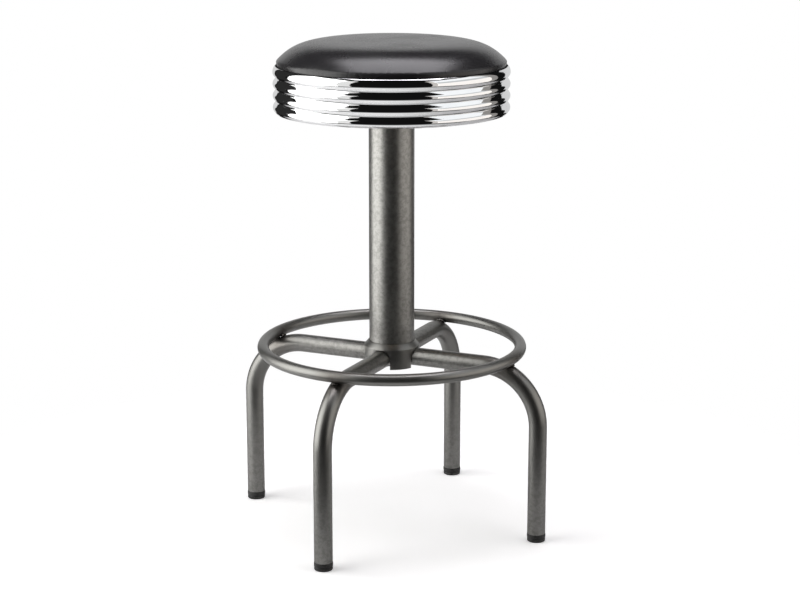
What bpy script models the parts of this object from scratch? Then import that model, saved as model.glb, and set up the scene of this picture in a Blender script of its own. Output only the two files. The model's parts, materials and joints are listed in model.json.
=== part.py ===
"""Diner bar stool: a cushioned seat in a ribbed metal band, a ball-race swivel, a round column,
four bent tube legs and a footrest ring.

Metres, +Z up. The origin is on the floor under the column, and the legs stand on the diagonals.
"""

import math

import bmesh
import bpy
from mathutils import Matrix, Vector

GAP = 0.0003  # between pieces that touch
ROUND = 40  # sides of the large turned pieces
RACE_SIDES = 36
TUBE_SIDES = 12
HARDWARE = 12  # sides of bolts and small holes
SMOOTH_BELOW = math.radians(35)

# Base
LEG_RADIUS = 0.0140
LEG_WALL = 0.0015
LEG_AXIS_Z = 0.272
LEG_REACH = 0.245  # column axis to the upright stretch of a leg
LEG_BEND = 0.090
LEG_ANGLES = {"back_right": 45, "back_left": 135, "front_left": 225, "front_right": 315}
FOOT_HEIGHT = 0.012
FOOT_STEM = 0.022
RING_RADIUS = 0.2005
RING_TUBE = 0.0090
RING_WALL = 0.0015
VENT_RADIUS = 0.0020
CAP_ROUNDING = 0.0015
CAP_GROOVE_DEPTH = 0.0008
CAP_WALL = 0.0025

# Column
COLUMN_RADIUS = 0.0350
COLUMN_WALL = 0.0020
COLUMN_FOOT_Z = LEG_AXIS_Z + LEG_RADIUS + GAP
COLUMN_TOP_Z = 0.6731
COLLAR_RADIUS = 0.0430
COLLAR_LOW_Z = 0.2565
COLLAR_SHOULDER_Z = 0.2880
COLLAR_TOP_Z = 0.2955
HUB_SIDE = 0.034
HUB_LOW_Z = 0.257
HUB_BORE = 0.0054
HUB_POCKET = 0.0120
HUB_POCKET_TOP_Z = 0.270
NUT_PLATE_Z = 0.290
NUT_PLATE_THICK = 0.006
COLUMN_BOLT_SHANK = 0.0050
COLUMN_BOLT_HEAD = 0.0092
COLUMN_BOLT_HEAD_HEIGHT = 0.0063
COLUMN_BOLT_TOP_Z = 0.3065
WASHER_BORE = 0.0053
SPRING_WASHER_RADIUS = 0.0090
SPRING_WASHER_THICK = 0.0018
WASHER_RADIUS = 0.0105
WASHER_THICK = 0.0020
COLUMN_NUT_CORNER = 0.0098
COLUMN_NUT_HEIGHT = 0.008

# Swivel
PLATE_THICK = 0.0025
TOP_PLATE_THICK = 0.0040
FIXED_PLATE_SIDE = 0.115
SEAT_PLATE_SIDE = 0.150
PLATE_CORNER = 0.010
FIXED_BOLT_OFFSET = 0.045
SEAT_SCREW_OFFSET = 0.0625
RACE_RADIUS = 0.040
BALL_RADIUS = 0.0024
BALL_COUNT = 12
GROOVE_RADIUS = 0.0027
RACE_WALL = 0.0070
RACE_CLEARANCE = 0.0008  # ball circle to the face of each race
CENTRE_HOLE = 0.028
PLATE_BOLT_SHANK = 0.0030
PLATE_BOLT_HEAD = 0.0058
PLATE_BOLT_HEAD_HEIGHT = 0.004
PLATE_NUT_CORNER = 0.0064
PLATE_NUT_HEIGHT = 0.0045
TOP_PLATE_Z = COLUMN_TOP_Z + GAP
FIXED_PLATE_Z = TOP_PLATE_Z + TOP_PLATE_THICK + GAP
SEAT_PLATE_Z = 0.6872
BALL_Z = (FIXED_PLATE_Z + PLATE_THICK + SEAT_PLATE_Z) / 2

# Seat
BOARD_Z = SEAT_PLATE_Z + PLATE_THICK + GAP
BOARD_THICK = 0.015
BOARD_RADIUS = 0.1709
COVER_RADIUS = 0.175
COVER_THICK = 0.0012
WAIST_RADIUS = 0.1734  # the cover where the band's valleys hold it in
WAIST_LOW_Z = 0.7062
WAIST_TOP_Z = 0.7085
COVER_RIM_Z = 0.7307  # where the crown starts to curve in
CROWN_RISE = 0.0299
CROWN_BELLY = 0.0016
CROWN_POWER = 7.0
CROWN_ROUNDING = 1.11
CROWN_SHARES = (0, 0.55, 0.8, 0.92, 0.98, 1)  # of the radius, where the crown's section has its points
HEM_REACH = 0.012
BAND_RADIUS = 0.180
BAND_WALL = 0.0010
BAND_LOW_Z = 0.654
BAND_TOP_Z = 0.7225
RIB_PITCH = 0.0178
RIB_DEPTH = 0.0050
RIB_COUNT = 4
TOP_RIB_Z = 0.7146
CLIP_WIDTH = 0.016
CLIP_THICK = 0.0015
CLIP_DROP = 0.020
CLIP_SCREW_RADIUS = 0.155
CLIP_SCREW_SHANK = 0.0018
CLIP_SCREW_HEAD = 0.0038
CLIP_PILOT = 0.0022
SEAT_SCREW_SHANK = 0.0030
SEAT_SCREW_HEAD = 0.0060
SEAT_SCREW_HEAD_HEIGHT = 0.0032
TEE_NUT_BORE = 0.0034
TEE_NUT_BARREL = 0.0042
TEE_NUT_FLANGE = 0.0090

SATIN_STEEL = ((0.20, 0.20, 0.185), 0.38, 1.0)
ZINC = ((0.62, 0.62, 0.60), 0.35, 1.0)
CHROME = ((0.86, 0.87, 0.88), 0.08, 1.0)
VINYL = ((0.035, 0.034, 0.036), 0.32, 0.0)
FOAM = ((0.83, 0.78, 0.55), 0.95, 0.0)
PLYWOOD = ((0.62, 0.45, 0.27), 0.70, 0.0)
BLACK_PLASTIC = ((0.02, 0.02, 0.02), 0.55, 0.0)


def clear_scene():
    for item in list(bpy.data.objects):
        bpy.data.objects.remove(item, do_unlink=True)


def make_material(name, finish):
    """One Principled material for one sub-part."""
    colour, roughness, metallic = finish
    material = bpy.data.materials.new(name)
    material.use_nodes = True
    shader = material.node_tree.nodes["Principled BSDF"]
    shader.inputs["Base Color"].default_value = (*colour, 1.0)
    shader.inputs["Roughness"].default_value = roughness
    shader.inputs["Metallic"].default_value = metallic
    return material


def make_mesh(name, bm):
    """Closes a bmesh into a mesh that is shaded smooth, with its real edges kept sharp."""
    mesh = bpy.data.meshes.new(name)
    bm.to_mesh(mesh)
    bm.free()
    mesh.shade_smooth()
    mesh.set_sharp_from_angle(angle=SMOOTH_BELOW)
    return mesh


def place(name, mesh, finish, location=(0, 0, 0), turn=0.0):
    """Stands a mesh in the scene as one named sub-part with its own material."""
    item = bpy.data.objects.new(name, mesh)
    bpy.context.scene.collection.objects.link(item)
    item.location = location
    item.rotation_euler = (0, 0, math.radians(turn))
    if not mesh.materials:
        mesh.materials.append(None)
    item.material_slots[0].link = "OBJECT"
    item.material_slots[0].material = make_material(name, finish)
    return item


def turned(outline, sides):
    """Turns an outline of (radius, height) points about Z. It ends on the axis or closes on itself."""
    bm = bmesh.new()
    points = [bm.verts.new((radius, 0, height)) for radius, height in outline]
    edges = [bm.edges.new(pair) for pair in zip(points, points[1:])]
    if outline[0][0] > 0:
        edges.append(bm.edges.new((points[-1], points[0])))
    bmesh.ops.spin(
        bm, geom=points + edges, cent=(0, 0, 0), axis=(0, 0, 1), angle=math.tau, steps=sides, use_merge=True
    )
    bmesh.ops.remove_doubles(bm, verts=bm.verts, dist=0.00001)
    bmesh.ops.recalc_face_normals(bm, faces=bm.faces)
    return bm


def add_cylinder(bm, radius, low, high, centre=(0, 0), sides=HARDWARE, lead=0.0):
    """Adds an upright cylinder or prism, turned by lead, between two heights."""
    matrix = Matrix.Translation((centre[0], centre[1], (low + high) / 2)) @ Matrix.Rotation(lead, 4, "Z")
    bmesh.ops.create_cone(
        bm, cap_ends=True, segments=sides, radius1=radius, radius2=radius, depth=high - low, matrix=matrix
    )


def add_block(bm, low, high):
    """Adds a rectangular block between two corners."""
    size = Vector(high) - Vector(low)
    middle = (Vector(low) + Vector(high)) / 2
    matrix = Matrix.Translation(middle) @ Matrix.Diagonal((*size, 1))
    bmesh.ops.create_cube(bm, size=1.0, matrix=matrix)


def modify(item, other, operation):
    """Joins or cuts one sub-part with a helper shape, and hides the helper."""
    boolean = item.modifiers.new(operation.lower(), "BOOLEAN")
    boolean.operation = operation
    boolean.solver = "EXACT"
    boolean.object = other
    other.hide_render = True
    other.display_type = "WIRE"


def helper(name, bm):
    """A cutter or a joined-on shape that isn't a sub-part itself."""
    item = bpy.data.objects.new(name, make_mesh(name, bm))
    bpy.context.scene.collection.objects.link(item)
    return item


def drill(item, holes):
    """Cuts round upright holes, each (x, y, radius, low, high)."""
    bm = bmesh.new()
    for x, y, radius, low, high in holes:
        add_cylinder(bm, radius, low, high, centre=(x, y))
    modify(item, helper("cutter_" + item.name, bm), "DIFFERENCE")


def square_corners(offset):
    """The four corners of a square pattern, named by their side of the stool."""
    return {
        "front_left": (-offset, -offset),
        "front_right": (offset, -offset),
        "back_left": (-offset, offset),
        "back_right": (offset, offset),
    }


def circle_loop(bm, radius, sides, matrix):
    """A loop of edges on a circle, without a face."""
    made = bmesh.ops.create_circle(bm, cap_ends=False, radius=radius, segments=sides, matrix=matrix)
    return sorted({edge for vert in made["verts"] for edge in vert.link_edges}, key=lambda edge: edge.index)


def only_faces(pieces):
    return [piece for piece in pieces if isinstance(piece, bmesh.types.BMFace)]


def region(faces):
    """Faces with their own edges, so that an extrusion leaves none of them inside."""
    return list(faces) + list({edge for face in faces for edge in face.edges})


def extrude(bm, faces, step):
    """Pushes faces out by a step and returns them where they end."""
    faces = only_faces(bmesh.ops.extrude_face_region(bm, geom=region(faces))["geom"])
    corners = list({vert for face in faces for vert in face.verts})
    bmesh.ops.translate(bm, verts=corners, vec=step)
    return faces


def leg_mesh():
    """A hollow tube that runs out along +X from the hub, bends down and ends in its foot cap."""
    start = HUB_SIDE / 2 + GAP
    bend_centre = Vector((LEG_REACH - LEG_BEND, 0, LEG_AXIS_Z - LEG_BEND))
    section = Matrix.Translation((start, 0, LEG_AXIS_Z)) @ Matrix.Rotation(math.pi / 2, 4, "Y")
    bm = bmesh.new()
    loops = circle_loop(bm, LEG_RADIUS, TUBE_SIDES, section)
    loops += circle_loop(bm, LEG_RADIUS - LEG_WALL, TUBE_SIDES, section)
    faces = bmesh.ops.bridge_loops(bm, edges=loops)["faces"]
    faces = extrude(bm, faces, (bend_centre.x - start, 0, 0))
    spun = bmesh.ops.spin(
        bm, geom=region(faces), cent=bend_centre, axis=(0, 1, 0), angle=math.pi / 2, steps=6
    )
    extrude(bm, only_faces(spun["geom_last"]), (0, 0, FOOT_HEIGHT + GAP - bend_centre.z))
    bmesh.ops.recalc_face_normals(bm, faces=bm.faces)
    return make_mesh("leg", bm)


def foot_cap_mesh():
    """A pushed-in plastic foot: a grooved head as wide as the tube and a hollow stem inside it."""
    stem_radius = LEG_RADIUS - LEG_WALL - GAP
    stem_top = FOOT_HEIGHT + FOOT_STEM
    bore = stem_radius - CAP_WALL
    groove = LEG_RADIUS - CAP_GROOVE_DEPTH
    outline = [
        (0, 0),
        (LEG_RADIUS - CAP_ROUNDING, 0),
        (LEG_RADIUS, CAP_ROUNDING),
        (LEG_RADIUS, 0.0055),
        (groove, 0.0062),
        (groove, 0.0070),
        (LEG_RADIUS, 0.0077),
        (LEG_RADIUS, FOOT_HEIGHT),
        (stem_radius, FOOT_HEIGHT),
        (stem_radius, stem_top - 0.004),
        (stem_radius - 0.0012, stem_top),
        (bore, stem_top),
        (bore, FOOT_HEIGHT),
        (0, FOOT_HEIGHT),
    ]
    return make_mesh("foot_cap", turned(outline, TUBE_SIDES))


def build_legs():
    leg = leg_mesh()
    cap = foot_cap_mesh()
    for side, turn in LEG_ANGLES.items():
        place("leg_" + side, leg, SATIN_STEEL, turn=turn)
        angle = math.radians(turn)
        foot = (LEG_REACH * math.cos(angle), LEG_REACH * math.sin(angle), 0)
        place("foot_cap_" + side, cap, BLACK_PLASTIC, location=foot, turn=turn)


def ring_height():
    """The ring rests on the outside of the bends, so its tube touches each leg's."""
    across = RING_RADIUS - (LEG_REACH - LEG_BEND)
    apart = LEG_BEND + LEG_RADIUS + RING_TUBE + GAP
    return LEG_AXIS_Z - LEG_BEND + math.sqrt(apart**2 - across**2)


def build_footrest_ring():
    """A hollow round ring, with a small vent hole underneath that lets it be welded and plated."""
    bm = bmesh.new()
    height = ring_height()
    section = Matrix.Translation((RING_RADIUS, 0, height)) @ Matrix.Rotation(math.pi / 2, 4, "X")
    for radius in (RING_TUBE, RING_TUBE - RING_WALL):
        edges = circle_loop(bm, radius, TUBE_SIDES, section)
        before = set(bm.faces)
        corners = list({vert for edge in edges for vert in edge.verts})
        bmesh.ops.spin(
            bm,
            geom=corners + edges,
            cent=(0, 0, 0),
            axis=(0, 0, 1),
            angle=math.tau,
            steps=ROUND,
            use_merge=True,
        )
        skin = [face for face in bm.faces if face not in before]
        bmesh.ops.recalc_face_normals(bm, faces=skin)
        if radius < RING_TUBE:
            bmesh.ops.reverse_faces(bm, faces=skin)
    ring = place("footrest_ring", make_mesh("footrest_ring", bm), SATIN_STEEL)
    drill(ring, [(0.0, RING_RADIUS, VENT_RADIUS, height - 2 * RING_TUBE, height)])


def build_column():
    outline = [
        (COLUMN_RADIUS, COLUMN_FOOT_Z),
        (COLUMN_RADIUS, COLUMN_TOP_Z),
        (COLUMN_RADIUS - COLUMN_WALL, COLUMN_TOP_Z),
        (COLUMN_RADIUS - COLUMN_WALL, COLUMN_FOOT_Z),
    ]
    place("column_tube", make_mesh("column_tube", turned(outline, ROUND)), SATIN_STEEL)


def build_base_collar():
    """The crown that sits over the four legs: a turned ring with an arch cut for each leg."""
    bore = COLUMN_RADIUS + GAP
    outline = [
        (bore, COLLAR_LOW_Z),
        (COLLAR_RADIUS - 0.0007, COLLAR_LOW_Z),
        (COLLAR_RADIUS, COLLAR_SHOULDER_Z),
        (bore + 0.0005, COLLAR_TOP_Z),
        (bore, COLLAR_TOP_Z),
    ]
    collar = place("base_collar", make_mesh("base_collar", turned(outline, ROUND)), SATIN_STEEL)
    arch = LEG_RADIUS + 0.0006
    bm = bmesh.new()
    add_block(bm, (-0.06, -arch, COLLAR_LOW_Z - 0.01), (0.06, arch, LEG_AXIS_Z))
    straight = helper("collar_arch_straight", bm)
    bm = bmesh.new()
    lying = Matrix.Translation((0, 0, LEG_AXIS_Z)) @ Matrix.Rotation(math.pi / 2, 4, "Y")
    bmesh.ops.create_cone(
        bm, cap_ends=True, segments=24, radius1=arch, radius2=arch, depth=0.13, matrix=lying
    )
    arched = helper("collar_arch_round", bm)
    for number, shape in enumerate((straight, arched)):
        shape.rotation_euler = (0, 0, math.radians(45))
        modify(collar, shape, "DIFFERENCE")
        across = helper_copy(shape, f"collar_arch_across_{number}")
        across.rotation_euler = (0, 0, math.radians(135))
        modify(collar, across, "DIFFERENCE")


def helper_copy(item, name):
    copy = bpy.data.objects.new(name, item.data)
    bpy.context.scene.collection.objects.link(copy)
    return copy


def build_hub():
    """The square boss that the legs are welded to, bored and counterbored for the column bolt."""
    half = HUB_SIDE / 2
    bm = bmesh.new()
    add_block(bm, (-half, -half, HUB_LOW_Z), (half, half, COLUMN_FOOT_Z - GAP))
    hub = place("leg_hub", make_mesh("leg_hub", bm), SATIN_STEEL, turn=45)
    drill(hub, [(0, 0, HUB_POCKET, HUB_LOW_Z - 0.01, HUB_POCKET_TOP_Z)])
    drill_more(hub, [(0, 0, HUB_BORE, HUB_LOW_Z, COLUMN_FOOT_Z + 0.01)])


def drill_more(item, holes):
    """A second set of holes that meets the first one."""
    bm = bmesh.new()
    for x, y, radius, low, high in holes:
        add_cylinder(bm, radius, low, high, centre=(x, y))
    modify(item, helper("second_cutter_" + item.name, bm), "DIFFERENCE")


def washer_outline(inner, outer, low, high):
    return [(inner, low), (outer, low), (outer, high), (inner, high)]


def headed_mesh(name, shank, head, levels, sides):
    """A bolt or a screw that points up. The levels are its head's low and high end and its tip."""
    head_low, head_high, tip = levels
    bm = bmesh.new()
    add_cylinder(bm, head, head_low, head_high, sides=sides)
    top = [face for face in bm.faces if face.calc_center_median().z > head_high - 0.0001]
    bmesh.ops.inset_region(
        bm,
        faces=top,
        thickness=(head - shank) * math.cos(math.pi / sides),
        use_boundary=True,
        use_even_offset=True,
    )
    extrude(bm, top, (0, 0, tip - head_high))
    bmesh.ops.recalc_face_normals(bm, faces=bm.faces)
    return make_mesh(name, bm)


def build_column_bolt():
    """One bolt from under the hub draws the column's nut plate down on to the legs."""
    washer_top = HUB_POCKET_TOP_Z - GAP
    washer_low = washer_top - WASHER_THICK
    spring_top = washer_low - GAP
    spring_low = spring_top - SPRING_WASHER_THICK
    head_top = spring_low - GAP
    levels = (head_top - COLUMN_BOLT_HEAD_HEIGHT, head_top, COLUMN_BOLT_TOP_Z)
    place("column_bolt", headed_mesh("column_bolt", COLUMN_BOLT_SHANK, COLUMN_BOLT_HEAD, levels, 6), ZINC)
    place_ring("column_spring_washer", ZINC, WASHER_BORE, SPRING_WASHER_RADIUS, spring_low, spring_top)
    place_ring("column_washer", ZINC, WASHER_BORE, WASHER_RADIUS, washer_low, washer_top)
    plate_top = NUT_PLATE_Z + NUT_PLATE_THICK
    plate_radius = COLUMN_RADIUS - COLUMN_WALL - GAP
    place_ring("column_nut_plate", SATIN_STEEL, 0.0060, plate_radius, NUT_PLATE_Z, plate_top, ROUND // 2)
    nut = nut_mesh("column_weld_nut", COLUMN_NUT_CORNER, WASHER_BORE, COLUMN_NUT_HEIGHT)
    place("column_weld_nut", nut, ZINC, (0, 0, plate_top + GAP))


def place_ring(name, finish, inner, outer, low, high, sides=HARDWARE):
    place(name, make_mesh(name, turned(washer_outline(inner, outer, low, high), sides)), finish)


def nut_mesh(name, corner, bore, height):
    """A hexagon nut standing on its own origin."""
    bm = bmesh.new()
    loops = circle_loop(bm, corner, 6, Matrix.Identity(4))
    loops += circle_loop(bm, bore, 6, Matrix.Identity(4))
    faces = bmesh.ops.bridge_loops(bm, edges=loops)["faces"]
    extrude(bm, faces, (0, 0, height))
    bmesh.ops.recalc_face_normals(bm, faces=bm.faces)
    return make_mesh(name, bm)


def square_plate(name, side, low, thick, finish):
    bm = bmesh.new()
    add_block(bm, (-side / 2, -side / 2, low), (side / 2, side / 2, low + thick))
    upright = [edge for edge in bm.edges if abs(edge.verts[0].co.z - edge.verts[1].co.z) > thick / 2]
    bmesh.ops.bevel(
        bm,
        geom=upright,
        offset=PLATE_CORNER,
        offset_type="OFFSET",
        segments=2,
        profile=0.5,
        affect="EDGES",
        material=-1,
    )
    bmesh.ops.recalc_face_normals(bm, faces=bm.faces)
    return place(name, make_mesh(name, bm), finish)


def race_outline(inner, outer, low, high, groove_side):
    """A race ring's section, with a round groove for the balls in its inner or outer face."""
    face = outer if groove_side > 0 else inner
    rise = math.sqrt(GROOVE_RADIUS**2 - (RACE_RADIUS - face) ** 2)
    reach = abs(RACE_RADIUS - face)
    start = math.atan2(rise, reach)
    groove = []
    steps = 3
    for step in range(steps + 1):
        angle = start - 2 * start * step / steps
        radius = RACE_RADIUS - groove_side * GROOVE_RADIUS * math.cos(angle)
        groove.append((radius, BALL_Z - GROOVE_RADIUS * math.sin(angle)))
    back = inner if groove_side > 0 else outer
    return [(back, high), (back, low), (face, low)] + groove + [(face, high)]


def build_swivel():
    """Two pressed plates that hold each other through one ring of balls."""
    corners = square_corners(FIXED_BOLT_OFFSET).values()
    top_plate = square_plate("column_top_plate", FIXED_PLATE_SIDE, TOP_PLATE_Z, TOP_PLATE_THICK, SATIN_STEEL)
    bolt_hole = PLATE_BOLT_SHANK + 0.0004
    holes = [(x, y, bolt_hole, TOP_PLATE_Z - 0.01, TOP_PLATE_Z + 0.02) for x, y in corners]
    drill(top_plate, holes + [(0, 0, 0.020, TOP_PLATE_Z - 0.01, TOP_PLATE_Z + 0.02)])

    fixed = square_plate("swivel_fixed_plate", FIXED_PLATE_SIDE, FIXED_PLATE_Z, PLATE_THICK, ZINC)
    fixed_top = FIXED_PLATE_Z + PLATE_THICK
    face = RACE_RADIUS - RACE_CLEARANCE
    inner_race = race_outline(RACE_RADIUS - RACE_WALL, face, fixed_top - 0.001, SEAT_PLATE_Z - 0.0005, 1)
    modify(fixed, helper("inner_race", turned(inner_race, RACE_SIDES)), "UNION")
    holes = [(x, y, bolt_hole, FIXED_PLATE_Z - 0.01, FIXED_PLATE_Z + 0.02) for x, y in corners]
    drill(fixed, holes + [(0, 0, CENTRE_HOLE, FIXED_PLATE_Z - 0.01, FIXED_PLATE_Z + 0.02)])

    seat_plate = square_plate("swivel_seat_plate", SEAT_PLATE_SIDE, SEAT_PLATE_Z, PLATE_THICK, ZINC)
    face = RACE_RADIUS + RACE_CLEARANCE
    outer_race = race_outline(face, RACE_RADIUS + RACE_WALL, fixed_top + 0.0005, SEAT_PLATE_Z + 0.001, -1)
    modify(seat_plate, helper("outer_race", turned(outer_race, RACE_SIDES)), "UNION")
    corners = square_corners(SEAT_SCREW_OFFSET).values()
    screw_hole = SEAT_SCREW_SHANK + 0.0005
    holes = [(x, y, screw_hole, SEAT_PLATE_Z - 0.01, SEAT_PLATE_Z + 0.01) for x, y in corners]
    drill(seat_plate, holes + [(0, 0, CENTRE_HOLE, SEAT_PLATE_Z - 0.01, SEAT_PLATE_Z + 0.01)])


def build_ball_cage():
    """The ball ring: a thin band that carries the balls between the two races."""
    band = washer_outline(RACE_RADIUS - 0.0004, RACE_RADIUS + 0.0004, BALL_Z - 0.0009, BALL_Z + 0.0009)
    cage = place("swivel_ball_cage", make_mesh("swivel_ball_cage", turned(band, 2 * BALL_COUNT)), ZINC)
    bm = bmesh.new()
    for number in range(BALL_COUNT):
        angle = math.tau * number / BALL_COUNT
        centre = (RACE_RADIUS * math.cos(angle), RACE_RADIUS * math.sin(angle), BALL_Z)
        turn = Matrix.Translation(centre) @ Matrix.Rotation(angle, 4, "Z")
        bmesh.ops.create_icosphere(bm, subdivisions=1, radius=BALL_RADIUS, matrix=turn)
    modify(cage, helper("swivel_balls", bm), "UNION")


def build_plate_bolts():
    """Four bolts come up through the column's plate into nuts welded on the fixed plate."""
    head_top = TOP_PLATE_Z - GAP
    fixed_top = FIXED_PLATE_Z + PLATE_THICK
    tip = fixed_top + PLATE_NUT_HEIGHT + 0.001
    levels = (head_top - PLATE_BOLT_HEAD_HEIGHT, head_top, tip)
    bolt = headed_mesh("plate_bolt", PLATE_BOLT_SHANK, PLATE_BOLT_HEAD, levels, 6)
    nut = nut_mesh("plate_weld_nut", PLATE_NUT_CORNER, PLATE_BOLT_SHANK + 0.0007, PLATE_NUT_HEIGHT)
    for side, (x, y) in square_corners(FIXED_BOLT_OFFSET).items():
        place("plate_bolt_" + side, bolt, ZINC, (x, y, 0))
        place("plate_weld_nut_" + side, nut, ZINC, (x, y, fixed_top + GAP))


def build_seat_board():
    """The plywood disc, with stepped holes for the T-nuts and pilot holes for the clip screws."""
    top = BOARD_Z + BOARD_THICK
    outline = [(0, BOARD_Z), (BOARD_RADIUS, BOARD_Z), (BOARD_RADIUS, top), (0, top)]
    board = place("seat_board", make_mesh("seat_board", turned(outline, ROUND)), PLYWOOD)
    corners = square_corners(SEAT_SCREW_OFFSET).values()
    barrel = TEE_NUT_BARREL + GAP
    flange = TEE_NUT_FLANGE + 0.0005
    drill(board, [(x, y, barrel, BOARD_Z - 0.01, top + 0.01) for x, y in corners] + pilot_holes())
    drill_more(board, [(x, y, flange, top - 0.0017, top + 0.01) for x, y in corners])


def pilot_holes():
    corners = square_corners(CLIP_SCREW_RADIUS / math.sqrt(2)).values()
    return [(x, y, CLIP_PILOT, BOARD_Z - 0.01, BOARD_Z + 0.0115) for x, y in corners]


def build_seat_fasteners():
    """Four machine screws go up through the swivel's seat plate into T-nuts in the board."""
    top = BOARD_Z + BOARD_THICK
    head_top = SEAT_PLATE_Z - GAP
    levels = (head_top - SEAT_SCREW_HEAD_HEIGHT, head_top, top - 0.003)
    screw = headed_mesh("seat_screw", SEAT_SCREW_SHANK, SEAT_SCREW_HEAD, levels, HARDWARE)
    flange = top - 0.0013
    tee = [
        (TEE_NUT_BORE, BOARD_Z + 0.002),
        (TEE_NUT_BARREL, BOARD_Z + 0.002),
        (TEE_NUT_BARREL, flange),
        (TEE_NUT_FLANGE, flange),
        (TEE_NUT_FLANGE, top - 0.0001),
        (TEE_NUT_BORE, top - 0.0001),
    ]
    nut = make_mesh("seat_tee_nut", turned(tee, HARDWARE))
    for side, (x, y) in square_corners(SEAT_SCREW_OFFSET).items():
        place("seat_screw_" + side, screw, ZINC, (x, y, 0))
        place("seat_tee_nut_" + side, nut, ZINC, (x, y, 0))


def crown_height(radius, extent=COVER_RADIUS):
    """The crowned top of the seat: nearly flat in the middle and round at the rim."""
    share = min(radius / extent, 1.0)
    return CROWN_RISE * (1 - share**CROWN_POWER) ** CROWN_ROUNDING + CROWN_BELLY * (1 - share**2)


def crown_points(extent, base, shares):
    return [(extent * share, base + crown_height(extent * share, extent)) for share in shares]


def waist_points(inset):
    """The step in the cushion's side, from its full radius to the waist inside the band."""
    return [(COVER_RADIUS - inset, WAIST_TOP_Z), (WAIST_RADIUS - inset, WAIST_LOW_Z)]


def build_seat_foam():
    inset = COVER_THICK + 2 * GAP
    low = BOARD_Z + BOARD_THICK + GAP
    outline = crown_points(COVER_RADIUS - inset, COVER_RIM_Z - inset, CROWN_SHARES)
    outline += waist_points(inset) + [(WAIST_RADIUS - inset, low), (0, low)]
    place("seat_foam", make_mesh("seat_foam", turned(outline, ROUND)), FOAM)


def build_seat_cover():
    """The vinyl skin, pulled over the foam and round the board's edge to a stapled hem."""
    inner = WAIST_RADIUS - COVER_THICK
    hem_top = BOARD_Z - GAP
    hem_low = hem_top - COVER_THICK
    hem_radius = COVER_RADIUS - HEM_REACH
    outline = crown_points(COVER_RADIUS, COVER_RIM_Z, CROWN_SHARES) + waist_points(0)
    outline += [(WAIST_RADIUS, hem_low), (hem_radius, hem_low), (hem_radius, hem_top), (inner, hem_top)]
    outline += waist_points(COVER_THICK)[::-1]
    outline += crown_points(COVER_RADIUS - COVER_THICK, COVER_RIM_Z - COVER_THICK, CROWN_SHARES)[::-1]
    place("seat_cover", make_mesh("seat_cover", turned(outline, ROUND)), VINYL)


def rib_radius(height, depth):
    """The band's ribbed section: each rib is a shallow arch between two valleys."""
    offset = (height - TOP_RIB_Z) / RIB_PITCH
    across = 2 * (offset - round(offset))
    return BAND_RADIUS - depth * (1 - math.sqrt(max(0.0, 1 - across**2)))


def band_skin(depth, inset, steps):
    """Points down one side of the band, from its top rib to its lowest one."""
    points = []
    for number in range(RIB_COUNT * steps + 1):
        height = TOP_RIB_Z + RIB_PITCH * (0.5 - number / steps)
        clipped = min(max(height, BAND_LOW_Z), BAND_TOP_Z)
        points.append((rib_radius(clipped, depth) - inset, clipped))
    return points


def build_seat_band():
    outer = band_skin(RIB_DEPTH, 0, 4)
    inner = band_skin(RIB_DEPTH, BAND_WALL, 4)
    place("seat_band", make_mesh("seat_band", turned(outer + inner[::-1], ROUND)), CHROME)


def build_band_clips():
    """Four bent clips join the band's inside to the board, each with one wood screw."""
    hem_low = BOARD_Z - GAP - COVER_THICK
    ledge_top = hem_low - GAP
    outer = BAND_RADIUS - RIB_DEPTH - BAND_WALL - 0.0010
    half = CLIP_WIDTH / 2
    profile = [
        (outer, ledge_top - CLIP_DROP),
        (outer, ledge_top),
        (CLIP_SCREW_RADIUS - 0.008, ledge_top),
        (CLIP_SCREW_RADIUS - 0.008, ledge_top - CLIP_THICK),
        (outer - CLIP_THICK, ledge_top - CLIP_THICK),
        (outer - CLIP_THICK, ledge_top - CLIP_DROP),
    ]
    bm = bmesh.new()
    side = bm.faces.new([bm.verts.new((radius, -half, height)) for radius, height in profile])
    extrude(bm, [side], (0, CLIP_WIDTH, 0))
    bmesh.ops.recalc_face_normals(bm, faces=bm.faces)
    clip = make_mesh("band_clip", bm)
    head_top = ledge_top - CLIP_THICK - GAP
    levels = (head_top - 0.002, head_top, BOARD_Z + 0.010)
    screw = headed_mesh("band_clip_screw", CLIP_SCREW_SHANK, CLIP_SCREW_HEAD, levels, 8)
    for side, turn in LEG_ANGLES.items():
        angle = math.radians(turn)
        centre = (CLIP_SCREW_RADIUS * math.cos(angle), CLIP_SCREW_RADIUS * math.sin(angle))
        item = place("band_clip_" + side, clip, ZINC, turn=turn)
        drill_clip(item)
        place("band_clip_screw_" + side, screw, ZINC, (*centre, 0))


def drill_clip(item):
    """The screw's hole, cut in the clip where it stands."""
    turn = item.rotation_euler.z
    x = CLIP_SCREW_RADIUS * math.cos(turn)
    y = CLIP_SCREW_RADIUS * math.sin(turn)
    drill(item, [(x, y, CLIP_PILOT, BOARD_Z - 0.02, BOARD_Z + 0.01)])


def build_stool():
    clear_scene()
    build_legs()
    build_footrest_ring()
    build_hub()
    build_base_collar()
    build_column()
    build_column_bolt()
    build_swivel()
    build_ball_cage()
    build_plate_bolts()
    build_seat_board()
    build_seat_fasteners()
    build_seat_foam()
    build_seat_cover()
    build_seat_band()
    build_band_clips()


build_stool()
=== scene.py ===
"""The finished look of a diner bar stool: a vinyl cushion in a ribbed chrome band, a satin steel
column, four bent tube legs with a footrest ring, and the swivel and fixings under the seat.

Metres throughout, in the frame of the stool: +Z up, the origin on the floor under the column.
"""

import json
import math
import random

import bmesh
import bpy
import numpy
from mathutils import Matrix, Vector


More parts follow.
